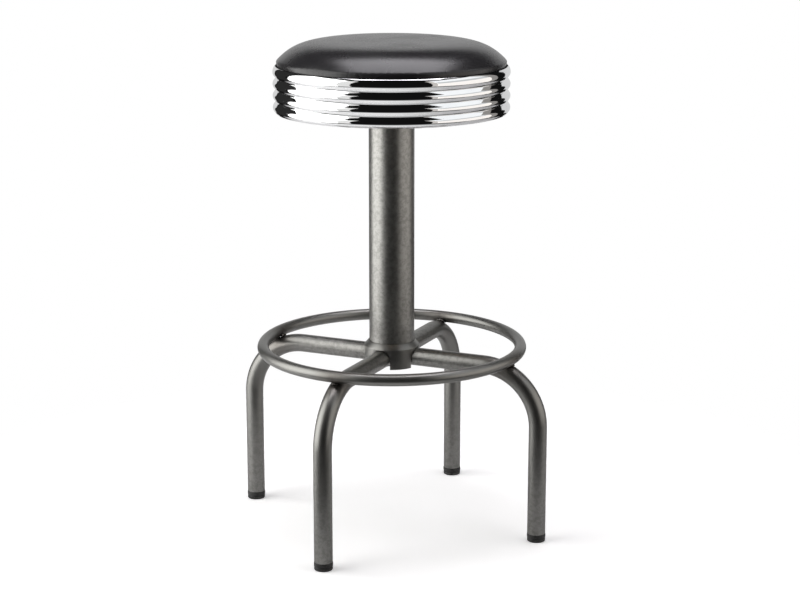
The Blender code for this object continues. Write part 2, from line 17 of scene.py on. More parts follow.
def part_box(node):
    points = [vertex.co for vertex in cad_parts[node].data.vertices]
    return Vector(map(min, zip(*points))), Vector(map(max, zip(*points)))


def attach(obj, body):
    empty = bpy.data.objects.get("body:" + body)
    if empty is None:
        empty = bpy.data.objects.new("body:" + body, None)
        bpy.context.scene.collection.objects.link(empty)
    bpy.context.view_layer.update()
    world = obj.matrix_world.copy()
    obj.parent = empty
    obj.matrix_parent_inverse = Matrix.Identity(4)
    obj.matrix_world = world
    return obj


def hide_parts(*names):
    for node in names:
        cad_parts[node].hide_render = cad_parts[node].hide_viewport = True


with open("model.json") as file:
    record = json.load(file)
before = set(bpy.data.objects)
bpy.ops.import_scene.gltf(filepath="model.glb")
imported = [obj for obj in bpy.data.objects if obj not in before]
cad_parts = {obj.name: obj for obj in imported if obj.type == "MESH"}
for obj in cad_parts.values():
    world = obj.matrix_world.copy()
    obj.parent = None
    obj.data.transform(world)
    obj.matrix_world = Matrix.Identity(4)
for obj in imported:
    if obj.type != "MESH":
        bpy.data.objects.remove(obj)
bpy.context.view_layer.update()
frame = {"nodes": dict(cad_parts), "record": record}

MM = 0.001
SIDES = ("front_left", "front_right", "back_left", "back_right")
LEG_TURN = {"back_right": 45, "back_left": 135, "front_left": 225, "front_right": 315}

# Sizes read from the frame
LEG_LOW, LEG_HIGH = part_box("leg_back_right")
RING_LOW, RING_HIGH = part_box("footrest_ring")
COLUMN_LOW, COLUMN_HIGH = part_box("column_tube")
COLLAR_LOW, COLLAR_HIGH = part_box("base_collar")
CAP_LOW, CAP_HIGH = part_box("foot_cap_back_right")
BAND_LOW, BAND_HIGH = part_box("seat_band")
COVER_LOW, COVER_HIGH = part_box("seat_cover")
BOARD_TOP_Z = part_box("seat_board")[1].z

LEG_RADIUS = 14.0 * MM
LEG_WALL = 1.5 * MM
LEG_AXIS_Z = LEG_HIGH.z - LEG_RADIUS
LEG_FOOT_Z = LEG_LOW.z
LEG_REACH = 245 * MM
LEG_BEND = 90 * MM
LEG_START = 17.3 * MM  # where a leg's tube butts on the hub
RING_TUBE = (RING_HIGH.z - RING_LOW.z) / 2
RING_RADIUS = RING_HIGH.x - RING_TUBE
RING_Z = (RING_HIGH.z + RING_LOW.z) / 2
COLUMN_RADIUS = COLUMN_HIGH.x
COLUMN_WALL = 2 * MM
COLLAR_RADIUS = COLLAR_HIGH.x
COLLAR_SHOULDER_Z = COLLAR_HIGH.z - 7.5 * MM  # the chamfer up to the column starts here
BAND_RADIUS = BAND_HIGH.x
RIB_PITCH = 17.8 * MM
RIB_DEPTH = 4.8 * MM
RIB_COUNT = 4
RIB_FLANK = 36  # degrees, of the straight sides between two ribs
TOP_RIB_Z = BAND_HIGH.z - 7.9 * MM
BAND_WALL = 0.9 * MM
LIP_RADIUS = BAND_RADIUS - 4.1 * MM
LIP_CURL = 1.2 * MM  # the radius of the band's rolled upper edge
COVER_RADIUS = COVER_HIGH.x
PAD_WAIST = BAND_RADIUS - RIB_DEPTH - BAND_WALL - 0.8 * MM
PAD_TUCK_Z = BAND_HIGH.z - 10 * MM  # the pad narrows below this, inside the band's top rib


def ring_contact():
    """Where the ring rests on the bend of a leg along +X, and the direction from the bend to the ring."""
    across = RING_RADIUS - (LEG_REACH - LEG_BEND)
    normal = Vector((across, 0, RING_Z - (LEG_AXIS_Z - LEG_BEND))).normalized()
    return Vector((RING_RADIUS, 0, RING_Z)) - normal * RING_TUBE, normal


# --- Shader groups -----------------------------------------------------------------------------


def new_group(name, inputs, outputs):
    """A shader node group with float and vector sockets, given as name: default."""
    group = bpy.data.node_groups.new(name, "ShaderNodeTree")
    for title, default in inputs.items():
        kind = "NodeSocketVector" if default is None else "NodeSocketFloat"
        socket = group.interface.new_socket(title, in_out="INPUT", socket_type=kind)
        if default is not None:
            socket.default_value = default
    for title in outputs:
        group.interface.new_socket(title, in_out="OUTPUT", socket_type="NodeSocketFloat")
    return group, group.nodes.new("NodeGroupInput"), group.nodes.new("NodeGroupOutput")


def add_node(tree, kind, inputs=None, **settings):
    """One node with its settings, its socket values and its links."""
    node = tree.nodes.new("ShaderNode" + kind)
    for name, value in settings.items():
        setattr(node, name, value)
    for key, value in (inputs or {}).items():
        if isinstance(value, bpy.types.NodeSocket):
            tree.links.new(value, node.inputs[key])
        else:
            node.inputs[key].default_value = value
    return node


def noise(tree, vector, scale, detail=3.0, roughness=0.55):
    inputs = {"Vector": vector, "Scale": scale, "Detail": detail, "Roughness": roughness}
    return add_node(tree, "TexNoise", inputs).outputs["Fac"]


def remap(tree, value, low, high, out_low=0.0, out_high=1.0, smooth=True):
    """Maps a value from one range to another, clamped."""
    kind = "SMOOTHSTEP" if smooth else "LINEAR"
    inputs = {"Value": value, "From Min": low, "From Max": high, "To Min": out_low, "To Max": out_high}
    return add_node(tree, "MapRange", inputs, interpolation_type=kind).outputs["Result"]


def math_node(tree, operation, first, second=0.0):
    return add_node(tree, "Math", {0: first, 1: second}, operation=operation).outputs[0]


def build_grain_group():
    """Fine metal grain: slow blotches, fine speckle and short drawn lines along one axis."""
    sockets = {"Vector": None, "Stretch": 12.0, "Grain Size": 900.0}
    group, given, result = new_group("metal_grain", sockets, ("Blotches", "Speckle", "Height"))
    vector = given.outputs["Vector"]
    blotches = remap(group, noise(group, vector, 30, 3, 0.5), 0.36, 0.66)
    speckle = remap(group, noise(group, vector, 420, 2, 0.7), 0.35, 0.7)
    along = math_node(group, "DIVIDE", 1.0, given.outputs["Stretch"])
    stretch = add_node(group, "CombineXYZ", {"X": 1.0, "Y": 1.0, "Z": along}).outputs[0]
    drawn = add_node(group, "VectorMath", {0: vector, 1: stretch}, operation="MULTIPLY").outputs[0]
    lines = noise(group, drawn, given.outputs["Grain Size"], 2, 0.5)
    height = math_node(group, "ADD", lines, math_node(group, "MULTIPLY", speckle, 0.15))
    group.links.new(blotches, result.inputs["Blotches"])
    group.links.new(speckle, result.inputs["Speckle"])
    group.links.new(height, result.inputs["Height"])
    return group


def build_edge_wear_group():
    """Lighter worn corners, broken up by noise."""
    group, given, result = new_group("edge_wear", {"Vector": None, "Amount": 0.5}, ("Mask",))
    sharp = add_node(group, "NewGeometry").outputs["Pointiness"]
    edge = remap(group, sharp, 0.505, 0.56)
    broken = remap(group, noise(group, given.outputs["Vector"], 160, 4, 0.7), 0.35, 0.62)
    worn = math_node(group, "MULTIPLY", edge, broken)
    group.links.new(math_node(group, "MULTIPLY", worn, given.outputs["Amount"]), result.inputs["Mask"])
    return group


def build_dust_group():
    """Thin dust and smudges that dull a gloss."""
    group, given, result = new_group("dust_and_smudges", {"Vector": None, "Scale": 24.0}, ("Smudge", "Dust"))
    vector = given.outputs["Vector"]
    smudge = remap(group, noise(group, vector, given.outputs["Scale"], 3, 0.6), 0.45, 0.75)
    specks = remap(group, noise(group, vector, 520, 1, 0.4), 0.70, 0.78)
    group.links.new(smudge, result.inputs["Smudge"])
    group.links.new(math_node(group, "MULTIPLY", specks, smudge), result.inputs["Dust"])
    return group


def build_weld_heat_group():
    """Darkened metal round the welded joints. All four legs are alike, so the sides are folded on one."""
    group, given, result = new_group("weld_heat", {"Vector": None}, ("Scorch", "Tint"))
    vector = given.outputs["Vector"]
    folded = add_node(group, "VectorMath", {0: vector}, operation="ABSOLUTE").outputs[0]
    ragged = noise(group, vector, 120, 3, 0.6)
    joint = Matrix.Rotation(math.radians(45), 3, "Z") @ ring_contact()[0]
    away = add_node(group, "VectorMath", {0: folded, 1: joint}, operation="DISTANCE").outputs["Value"]
    away = math_node(group, "ADD", away, math_node(group, "MULTIPLY", ragged, 10 * MM))
    scorch = remap(group, away, 24 * MM, 12 * MM)
    tint = remap(group, away, 46 * MM, 20 * MM)
    collar_point = Vector((COLLAR_RADIUS * 0.75, COLLAR_RADIUS * 0.75, LEG_AXIS_Z))
    near = add_node(group, "VectorMath", {0: folded, 1: collar_point}, operation="DISTANCE").outputs["Value"]
    near = math_node(group, "ADD", near, math_node(group, "MULTIPLY", ragged, 14 * MM))
    collar_tint = remap(group, near, 30 * MM, 14 * MM, 0.0, 0.12)
    group.links.new(scorch, result.inputs["Scorch"])
    group.links.new(math_node(group, "MAXIMUM", tint, collar_tint), result.inputs["Tint"])
    return group


GRAIN = build_grain_group()
WEAR = build_edge_wear_group()
DUST = build_dust_group()
HEAT = build_weld_heat_group()


# --- Materials ---------------------------------------------------------------------------------


def start_material(name, **constants):
    """A Principled material with plain constants, and the piece's own coordinates."""
    material = bpy.data.materials.new(name)
    material.use_nodes = True
    tree = material.node_tree
    shader = tree.nodes["Principled BSDF"]
    for key, value in constants.items():
        shader.inputs[key.replace("_", " ")].default_value = value
    place = add_node(tree, "TexCoord").outputs["Object"]
    return material, tree, shader, place


def use_group(tree, group, inputs):
    node = tree.nodes.new("ShaderNodeGroup")
    node.node_tree = group
    for key, value in inputs.items():
        if isinstance(value, bpy.types.NodeSocket):
            tree.links.new(value, node.inputs[key])
        else:
            node.inputs[key].default_value = value
    return node


def mix_colour(tree, factor, first, second, blend="MIX"):
    """Mixes two colours, each a tuple or a socket."""
    node = add_node(tree, "Mix", data_type="RGBA", blend_type=blend)
    for index, value in ((0, factor), (6, first), (7, second)):
        if isinstance(value, bpy.types.NodeSocket):
            tree.links.new(value, node.inputs[index])
        else:
            node.inputs[index].default_value = (*value, 1.0) if isinstance(value, tuple) else value
    return node.outputs[2]


def bump(tree, shader, height, strength, distance):
    node = add_node(tree, "Bump", {"Height": height, "Strength": strength, "Distance": distance})
    tree.links.new(node.outputs["Normal"], shader.inputs["Normal"])


def satin_steel(name="satin_steel", scorched=0.0, stretch=12.0):
    """Bare mild steel under clear lacquer: dark, soft gloss, blotched, and browned at its welds."""
    material, tree, shader, place = start_material(name, Metallic=1.0)
    grain = use_group(tree, GRAIN, {"Vector": place, "Stretch": stretch, "Grain Size": 700.0})
    heat = use_group(tree, HEAT, {"Vector": place})
    wear = use_group(tree, WEAR, {"Vector": place, "Amount": 0.35})
    colour = mix_colour(tree, grain.outputs["Blotches"], (0.233, 0.231, 0.220), (0.246, 0.244, 0.232))
    speckled = math_node(tree, "MULTIPLY", grain.outputs["Speckle"], 0.015)
    colour = mix_colour(tree, speckled, colour, (0.15, 0.147, 0.138))
    tinted = math_node(tree, "MULTIPLY", heat.outputs["Tint"], 0.45)
    colour = mix_colour(tree, tinted, colour, (0.115, 0.098, 0.085))
    scorch = math_node(tree, "MAXIMUM", heat.outputs["Scorch"], scorched)
    colour = mix_colour(tree, math_node(tree, "MULTIPLY", scorch, 0.8), colour, (0.045, 0.040, 0.036))
    colour = mix_colour(tree, wear.outputs["Mask"], colour, (0.50, 0.49, 0.47))
    tree.links.new(colour, shader.inputs["Base Color"])
    rough = remap(tree, grain.outputs["Blotches"], 0.0, 1.0, 0.375, 0.395, smooth=False)
    rough = math_node(tree, "ADD", rough, math_node(tree, "MULTIPLY", scorch, 0.12))
    tree.links.new(rough, shader.inputs["Roughness"])
    bump(tree, shader, grain.outputs["Height"], 0.03, 0.02 * MM)
    return material


def zinc_steel():
    """Bright zinc plating on the hardware, with a slight yellow and blue cast."""
    material, tree, shader, place = start_material("zinc_plating", Metallic=1.0)
    grain = use_group(tree, GRAIN, {"Vector": place, "Stretch": 1.0, "Grain Size": 1500.0})
    wear = use_group(tree, WEAR, {"Vector": place, "Amount": 0.5})
    colour = mix_colour(tree, grain.outputs["Blotches"], (0.60, 0.61, 0.62), (0.68, 0.66, 0.58))
    speckled = math_node(tree, "MULTIPLY", grain.outputs["Speckle"], 0.3)
    colour = mix_colour(tree, speckled, colour, (0.45, 0.45, 0.45))
    colour = mix_colour(tree, wear.outputs["Mask"], colour, (0.80, 0.80, 0.79))
    tree.links.new(colour, shader.inputs["Base Color"])
    rough = remap(tree, grain.outputs["Blotches"], 0.0, 1.0, 0.28, 0.42, smooth=False)
    tree.links.new(rough, shader.inputs["Roughness"])
    bump(tree, shader, grain.outputs["Height"], 0.15, 0.05 * MM)
    return material


def band_chrome():
    """Chrome plate on a rolled strip: mirror bright, faintly wavy, with a few smudges."""
    material, tree, shader, place = start_material("band_chrome", Metallic=1.0)
    dust = use_group(tree, DUST, {"Vector": place, "Scale": 18.0})
    colour = mix_colour(tree, dust.outputs["Smudge"], (0.90, 0.905, 0.91), (0.86, 0.865, 0.875))
    dusty = math_node(tree, "MULTIPLY", dust.outputs["Dust"], 0.5)
    colour = mix_colour(tree, dusty, colour, (0.55, 0.54, 0.52))
    tree.links.new(colour, shader.inputs["Base Color"])
    rough = remap(tree, dust.outputs["Smudge"], 0.0, 1.0, 0.035, 0.085, smooth=False)
    tree.links.new(rough, shader.inputs["Roughness"])
    bump(tree, shader, noise(tree, place, 22, 1, 0.4), 0.035, 0.3 * MM)
    return material


def seat_vinyl():
    """Black upholstery vinyl: a fine leather grain with a soft gloss, rubbed smoother on top."""
    material, tree, shader, place = start_material("seat_vinyl", IOR=1.5)
    shader.inputs["Coat Roughness"].default_value = 0.20
    dust = use_group(tree, DUST, {"Vector": place, "Scale": 14.0})
    cells = add_node(
        tree, "TexVoronoi", {"Vector": place, "Scale": 900.0, "Randomness": 1.0}, feature="DISTANCE_TO_EDGE"
    ).outputs["Distance"]
    pebble = remap(tree, cells, 0.0, 0.35)
    fold = noise(tree, place, 330, 4, 0.6)
    colour = mix_colour(tree, noise(tree, place, 9, 3, 0.5), (0.011, 0.0105, 0.0115), (0.020, 0.019, 0.0205))
    dusty = math_node(tree, "MULTIPLY", dust.outputs["Dust"], 0.25)
    colour = mix_colour(tree, dusty, colour, (0.12, 0.12, 0.12))
    tree.links.new(colour, shader.inputs["Base Color"])
    rough = remap(tree, dust.outputs["Smudge"], 0.0, 1.0, 0.26, 0.32, smooth=False)
    tree.links.new(rough, shader.inputs["Roughness"])
    height = math_node(tree, "ADD", pebble, math_node(tree, "MULTIPLY", fold, 1.2))
    bump(tree, shader, height, 0.16, 0.12 * MM)
    return material


def foot_plastic():
    """Black moulded plastic with a fine spark-eroded texture, scuffed at its edge."""
    material, tree, shader, place = start_material("foot_plastic")
    dust = use_group(tree, DUST, {"Vector": place, "Scale": 90.0})
    wear = use_group(tree, WEAR, {"Vector": place, "Amount": 0.6})
    colour = mix_colour(tree, dust.outputs["Smudge"], (0.010, 0.010, 0.010), (0.020, 0.020, 0.018))
    colour = mix_colour(tree, wear.outputs["Mask"], colour, (0.09, 0.09, 0.085))
    tree.links.new(colour, shader.inputs["Base Color"])
    tree.links.new(remap(tree, dust.outputs["Smudge"], 0.0, 1.0, 0.42, 0.6), shader.inputs["Roughness"])
    bump(tree, shader, noise(tree, place, 1800, 2, 0.6), 0.2, 0.05 * MM)
    return material


def plywood():
    """Birch plywood, stained by age: long wavy grain and small knots."""
    material, tree, shader, place = start_material("plywood")
    drawn = add_node(tree, "Mapping", {"Vector": place, "Scale": (1.0, 9.0, 9.0)}).outputs[0]
    grain = noise(tree, drawn, 14, 6, 0.65)
    fine = noise(tree, drawn, 110, 3, 0.6)
    colour = mix_colour(tree, remap(tree, grain, 0.35, 0.65), (0.60, 0.43, 0.26), (0.40, 0.26, 0.14))
    colour = mix_colour(tree, math_node(tree, "MULTIPLY", fine, 0.35), colour, (0.30, 0.19, 0.10))
    tree.links.new(colour, shader.inputs["Base Color"])
    tree.links.new(remap(tree, fine, 0.2, 0.8, 0.62, 0.8), shader.inputs["Roughness"])
    bump(tree, shader, fine, 0.25, 0.2 * MM)
    return material


STEEL = satin_steel()
COLUMN_STEEL = satin_steel("column_steel", stretch=40.0)
WELD_STEEL = satin_steel("weld_steel", scorched=0.55, stretch=1.0)
ZINC = zinc_steel()
CHROME = band_chrome()
VINYL = seat_vinyl()
PLASTIC = foot_plastic()
PLYWOOD = plywood()


# --- Shaping helpers ---------------------------------------------------------------------------


def finish_piece(name, bm, material, body, stands_for=(), sharp=40):
    """Makes a bmesh a finished piece that rides on its body."""
    mesh = bpy.data.meshes.new(name)
    bm.to_mesh(mesh)
    bm.free()
    mesh.materials.append(material)
    mesh.shade_smooth()
    mesh.set_sharp_from_angle(angle=math.radians(sharp))
    piece = bpy.data.objects.new(name, mesh)
    bpy.context.scene.collection.objects.link(piece)
    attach(piece, body)
    if stands_for:
        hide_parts(*stands_for)
    return piece


def arc(centre, radius, start, end, steps):
    """Points (across, up) on a round stretch, from one angle to another in degrees."""
    points = []
    for step in range(steps + 1):
        angle = math.radians(start + (end - start) * step / steps)
        points.append((centre[0] + radius * math.cos(angle), centre[1] + radius * math.sin(angle)))
    return points


def turn_outline(bm, outline, sides):
    """Turns a closed outline of (radius, height) points about Z and welds its seam."""
    verts = [bm.verts.new((radius, 0, height)) for radius, height in outline]
    edges = [bm.edges.new(pair) for pair in zip(verts, verts[1:])]
    if outline[0][0] > 1e-6:
        edges.append(bm.edges.new((verts[-1], verts[0])))
    bmesh.ops.spin(
        bm, geom=verts + edges, cent=(0, 0, 0), axis=(0, 0, 1), angle=math.tau, steps=sides, use_merge=True
    )
    bmesh.ops.remove_doubles(bm, verts=bm.verts, dist=1e-6)
    bmesh.ops.recalc_face_normals(bm, faces=bm.faces)


def turned(outline, sides):
    bm = bmesh.new()
    turn_outline(bm, outline, sides)
    return bm


def only_faces(pieces):
    return [piece for piece in pieces if isinstance(piece, bmesh.types.BMFace)]


def region(faces):
    return list(faces) + list({edge for face in faces for edge in face.edges})


def extrude(bm, faces, step):
    """Pushes faces out by a step and returns them where they end."""
    faces = only_faces(bmesh.ops.extrude_face_region(bm, geom=region(faces))["geom"])
    bmesh.ops.translate(bm, verts=list({vert for face in faces for vert in face.verts}), vec=step)
    return faces


def turn_to_side(bm, degrees):
    """Turns a shape made along +X about Z, to the side of one leg."""
    turn = Matrix.Rotation(math.radians(degrees), 3, "Z")
    bmesh.ops.rotate(bm, verts=bm.verts, cent=(0, 0, 0), matrix=turn)


def ring_section(bm, radii, sides, matrix):
    """A flat annulus between two circles, as faces."""
    edges = []
    for radius in radii:
        made = bmesh.ops.create_circle(bm, cap_ends=False, radius=radius, segments=sides, matrix=matrix)
        edges += list({edge for vert in made["verts"] for edge in vert.link_edges})
    return bmesh.ops.bridge_loops(bm, edges=edges)["faces"]


# --- Base --------------------------------------------------------------------------------------


def build_legs():
    """Four hollow tubes, each run out from the hub, bent down and cut off square above its foot."""
    bend_centre = Vector((LEG_REACH - LEG_BEND, 0, LEG_AXIS_Z - LEG_BEND))
    section = Matrix.Translation((LEG_START, 0, LEG_AXIS_Z)) @ Matrix.Rotation(math.pi / 2, 4, "Y")
    for side, turn in LEG_TURN.items():
        bm = bmesh.new()
        faces = ring_section(bm, (LEG_RADIUS, LEG_RADIUS - LEG_WALL), 56, section)
        faces = extrude(bm, faces, (bend_centre.x - LEG_START, 0, 0))
        spun = bmesh.ops.spin(
            bm, geom=region(faces), cent=bend_centre, axis=(0, 1, 0), angle=math.pi / 2, steps=36
        )
        faces = extrude(bm, only_faces(spun["geom_last"]), (0, 0, LEG_FOOT_Z + 0.5 * MM - bend_centre.z))
        foot = extrude(bm, faces, (0, 0, -0.5 * MM))
        pull_in_edge(foot, (LEG_REACH, 0), 0.25 * MM)
        bmesh.ops.recalc_face_normals(bm, faces=bm.faces)
        turn_to_side(bm, turn)
        finish_piece("leg_tube_" + side, bm, STEEL, "base", ["leg_" + side])


def pull_in_edge(faces, centre, amount):
    """Draws the outer rim of a cut end in a little, as a deburred edge."""
    for vert in {vert for face in faces for vert in face.verts}:
        spoke = Vector((vert.co.x - centre[0], vert.co.y - centre[1], 0))
        if spoke.length > LEG_RADIUS - 0.1 * MM:
            vert.co -= spoke.normalized() * amount


def build_foot_caps():
    """Pushed-in plastic feet: a grooved head as wide as the tube, on a hollow stem."""
    head = CAP_LOW.z + 12 * MM
    stem = LEG_RADIUS - LEG_WALL - 0.3 * MM
    foot, rim = LEG_RADIUS + 0.1 * MM, LEG_RADIUS + 0.4 * MM
    outline = [(0, 0), (foot - 1.8 * MM, 0)]
    outline += arc((foot - 1.8 * MM, 1.8 * MM), 1.8 * MM, -75, 0, 6)
    outline += arc((foot + 0.25 * MM, 5.7 * MM), 1.1 * MM, 255, 105, 8)
    outline += arc((rim - 0.3 * MM, 7.1 * MM), 0.3 * MM, -60, 0, 2)
    outline += arc((rim - 0.6 * MM, head - 0.6 * MM), 0.6 * MM, 0, 90, 4)
    outline += [(stem, head), (stem, CAP_HIGH.z - 3 * MM), (stem - 1.2 * MM, CAP_HIGH.z)]
    outline += [(stem - 3 * MM, CAP_HIGH.z), (stem - 3 * MM, head), (0, head)]
    for side, turn in LEG_TURN.items():
        bm = turned(outline, 64)
        angle = math.radians(turn)
        place = (LEG_REACH * math.cos(angle), LEG_REACH * math.sin(angle), 0)
        bmesh.ops.translate(bm, verts=bm.verts, vec=place)
        finish_piece("foot_" + side, bm, PLASTIC, "base", ["foot_cap_" + side])


def build_footrest_ring():
    """The round tube that the feet rest on."""
    bm = bmesh.new()
    outline = arc((RING_RADIUS, RING_Z), RING_TUBE, 0, 360 - 360 / 40, 39)
    turn_outline(bm, outline, 240)
    finish_piece("footrest", bm, STEEL, "base", ["footrest_ring"])


def weld_bead(length, width, height, ripples, seed):
    """A short run of weld along X: a long rounded lump, given by its half sizes, with ripples."""
    chance = random.Random(seed)
    bm = bmesh.new()
    lying = Matrix.Rotation(math.pi / 2, 4, "Y")
    bmesh.ops.create_uvsphere(bm, u_segments=40, v_segments=20, radius=1.0, matrix=lying)
    phase = chance.uniform(0, math.tau)
    for vert in bm.verts:
        along = vert.co.x
        ripple = 1 + 0.10 * math.sin(along * ripples + phase + 1.5 * vert.co.y**2)
        body = 1 + 0.12 * math.sin(along * 2.3 + phase)
        vert.co = Vector((along * length, vert.co.y * width * ripple * body, vert.co.z * height * ripple))
    return bm


def build_ring_welds():
    """Fillets on the inner and outer side of the ring where it lies on each bend."""
    contact, normal = ring_contact()
    along_leg = Vector((-normal.z, 0, normal.x))
    for number, (side, turn) in enumerate(LEG_TURN.items()):
        for part, offset, size in (("inner", 1, (7.5, 3.0, 2.3)), ("outer", -1, (5.0, 1.9, 1.4))):
            bm = weld_bead(*(half * MM for half in size), 11, 10 * number + offset)
            for vert in bm.verts:
                drop = LEG_RADIUS - math.sqrt(LEG_RADIUS**2 - min(abs(vert.co.x), 0.95 * LEG_RADIUS) ** 2)
                vert.co.z -= 0.85 * drop
            frame_axes = Matrix((Vector((0, 1, 0)), along_leg * offset, normal)).transposed()
            bmesh.ops.transform(bm, verts=bm.verts, matrix=frame_axes.to_4x4())
            centre = contact + along_leg * offset * 7.0 * MM + normal * 1.3 * MM
            bmesh.ops.translate(bm, verts=bm.verts, vec=centre)
            bmesh.ops.recalc_face_normals(bm, faces=bm.faces)
            turn_to_side(bm, turn)
            finish_piece(f"ring_weld_{part}_{side}", bm, WELD_STEEL, "base")


def rippled_ring(radius, height, size, ripples, sides):
    """A ring of weld about Z, with even ripples along it."""
    bm = bmesh.new()
    turn_outline(bm, arc((radius, height), size, 0, 330, 11), sides)
    for vert in bm.verts:
        angle = math.atan2(vert.co.y, vert.co.x)
        spoke = Vector((math.cos(angle), math.sin(angle), 0))
        core = spoke * radius + Vector((0, 0, height))
        swell = 1 + 0.13 * math.sin(ripples * angle) + 0.08 * math.sin(3 * angle + 1)
        vert.co = core + (vert.co - core) * swell
    return bm


def build_hub_welds():
    """A ring of weld round the end of each leg at the hub, and one where the column meets its plate."""
    for side, turn in LEG_TURN.items():
        bm = rippled_ring(LEG_RADIUS + 0.4 * MM, 0, 1.9 * MM, 22, 88)
        place = Matrix.Translation((LEG_START + 0.8 * MM, 0, LEG_AXIS_Z))
        bmesh.ops.transform(bm, verts=bm.verts, matrix=place @ Matrix.Rotation(math.pi / 2, 4, "Y"))
        turn_to_side(bm, turn)
        finish_piece("hub_weld_" + side, bm, WELD_STEEL, "base")
    bm = rippled_ring(COLUMN_RADIUS + 0.9 * MM, COLUMN_HIGH.z - 0.9 * MM, 2.2 * MM, 64, 256)
    finish_piece("column_top_weld", bm, WELD_STEEL, "base")


def build_column():
    outer, inner = COLUMN_RADIUS, COLUMN_RADIUS - COLUMN_WALL
    low, high = COLUMN_LOW.z, COLUMN_HIGH.z
    outline = [(outer, low), (outer, high), (inner, high), (inner, low)]
    finish_piece("column", turned(outline, 160), COLUMN_STEEL, "base", ["column_tube"])


def build_collar():
    """The crown at the column's foot: a turned ring, arched out over each leg, with eased edges."""
    bore = COLUMN_RADIUS + 0.05 * MM
    low = COLLAR_LOW.z
    outer = COLLAR_RADIUS
    outline = [(bore, low), (outer - 1.5 * MM, low)]
    outline += arc((outer - 1.5 * MM, low + 0.8 * MM), 0.8 * MM, -80, 0, 5)
    outline += arc((outer - 1.2 * MM, COLLAR_SHOULDER_Z - 0.6 * MM), 1.2 * MM, 0, 40, 5)
    outline += arc((bore + 0.9 * MM, COLLAR_HIGH.z - 0.8 * MM), 0.8 * MM, 45, 120, 5)
    outline += [(bore, COLLAR_HIGH.z - 0.6 * MM)]
    bm = turned(outline, 192)
    collar = finish_piece("column_collar", bm, STEEL, "base", ["base_collar"], sharp=50)
    arch = LEG_RADIUS + 0.9 * MM
    for turn in (45, 135):
        cutter = bmesh.new()
        upright = Matrix.Translation((0, 0, LEG_AXIS_Z)) @ Matrix.Rotation(math.pi / 2, 4, "Y")
        made = bmesh.ops.create_cone(
            cutter, cap_ends=True, segments=48, radius1=arch, radius2=arch, depth=130 * MM, matrix=upright
        )
        for vert in made["verts"]:
            if vert.co.z < LEG_AXIS_Z - 0.1 * MM:
                vert.co.z -= 30 * MM
                vert.co.y = math.copysign(arch, vert.co.y)
        bmesh.ops.remove_doubles(cutter, verts=cutter.verts, dist=1e-6)
        turn_to_side(cutter, turn)
        cut_away(collar, cutter)
    ease_edges(collar, 0.5 * MM)


def cut_away(piece, cutter_bm):
    """Cuts one shape out of a piece for good."""
    bmesh.ops.recalc_face_normals(cutter_bm, faces=cutter_bm.faces)
    mesh = bpy.data.meshes.new("cutter")
    cutter_bm.to_mesh(mesh)
    cutter_bm.free()
    cutter = bpy.data.objects.new("cutter", mesh)
    bpy.context.scene.collection.objects.link(cutter)
    boolean = piece.modifiers.new("cut", "BOOLEAN")
    boolean.operation = "DIFFERENCE"
    boolean.solver = "EXACT"
    boolean.object = cutter
    settle(piece)
    bpy.data.objects.remove(cutter, do_unlink=True)


def settle(piece):
    """Applies every modifier of a piece to its mesh."""
    bpy.context.view_layer.update()
    graph = bpy.context.evaluated_depsgraph_get()
    made = bpy.data.meshes.new_from_object(piece.evaluated_get(graph))
    piece.modifiers.clear()
    piece.data = made


def ease_edges(piece, width):
    """Rounds a piece's sharp edges."""
    bevel = piece.modifiers.new("eased edges", "BEVEL")
    bevel.width = width
    bevel.segments = 2
    bevel.limit_method = "ANGLE"
    bevel.angle_limit = math.radians(50)


# --- Seat --------------------------------------------------------------------------------------


def rib_outline(inset):
    """The band's section from its top lip, over four round ribs with straight flanks, to its lower edge."""
    half = RIB_PITCH / 2
    flank = math.radians(RIB_FLANK)
    radius = (half * math.tan(flank) - RIB_DEPTH) / (1 / math.cos(flank) - 1)
    points = upper_lip(inset)
    for number in range(RIB_COUNT):
        centre = Vector((BAND_RADIUS - radius, TOP_RIB_Z - number * RIB_PITCH))
        if number > 0:
            points += arc(centre, radius - inset, RIB_FLANK, 0, 12)
        points += arc(centre, radius - inset, 0, -RIB_FLANK, 12)[1:]
        valley = Vector((BAND_RADIUS - RIB_DEPTH - inset / math.cos(flank), centre.y - half))
        along = Vector((math.sin(flank), math.cos(flank)))
        if number < RIB_COUNT - 1:
            rounding = 0.6 * MM
            points += [valley + along * rounding, valley + Vector((0.4 * rounding * along.x, 0))]
            points += [valley + Vector((along.x, -along.y)) * rounding]
        else:
            points += [valley + along * (BAND_LOW.z - valley.y) / along.y]
    return points


def upper_lip(inset):
    """The top rib's upper half: one long sweep in to the cushion, and a tight curl at its edge."""
    turn, end = 45, 60
    start = Vector((math.cos(math.radians(turn)), math.sin(math.radians(turn))))
    reach = BAND_RADIUS - LIP_RADIUS - LIP_CURL * (start.x - math.cos(math.radians(end)))
    sweep = reach / (1 - start.x)
    centre = Vector((BAND_RADIUS - sweep, TOP_RIB_Z))
    curl = centre + (sweep - LIP_CURL) * start
    return arc(curl, LIP_CURL - inset, end, turn, 6)[:-1] + arc(centre, sweep - inset, turn, 0, 12)


def build_band():
    """The chromed band: a thin rolled strip with four ribs, its lips turned in at both edges."""
    outer = rib_outline(0.0)
    inner = rib_outline(BAND_WALL)
    bm = turned(outer + inner[::-1], 300)
    finish_piece("ribbed_band", bm, CHROME, "seat", ["seat_band"], sharp=60)


def crown_height(radius):
    """The cushion's crown above its rim: nearly flat in the middle and round at the edge."""
    share = min(radius / COVER_RADIUS, 1.0)
    return 29.9 * MM * (1 - share**7) ** 1.11 + 1.6 * MM * (1 - share**2)


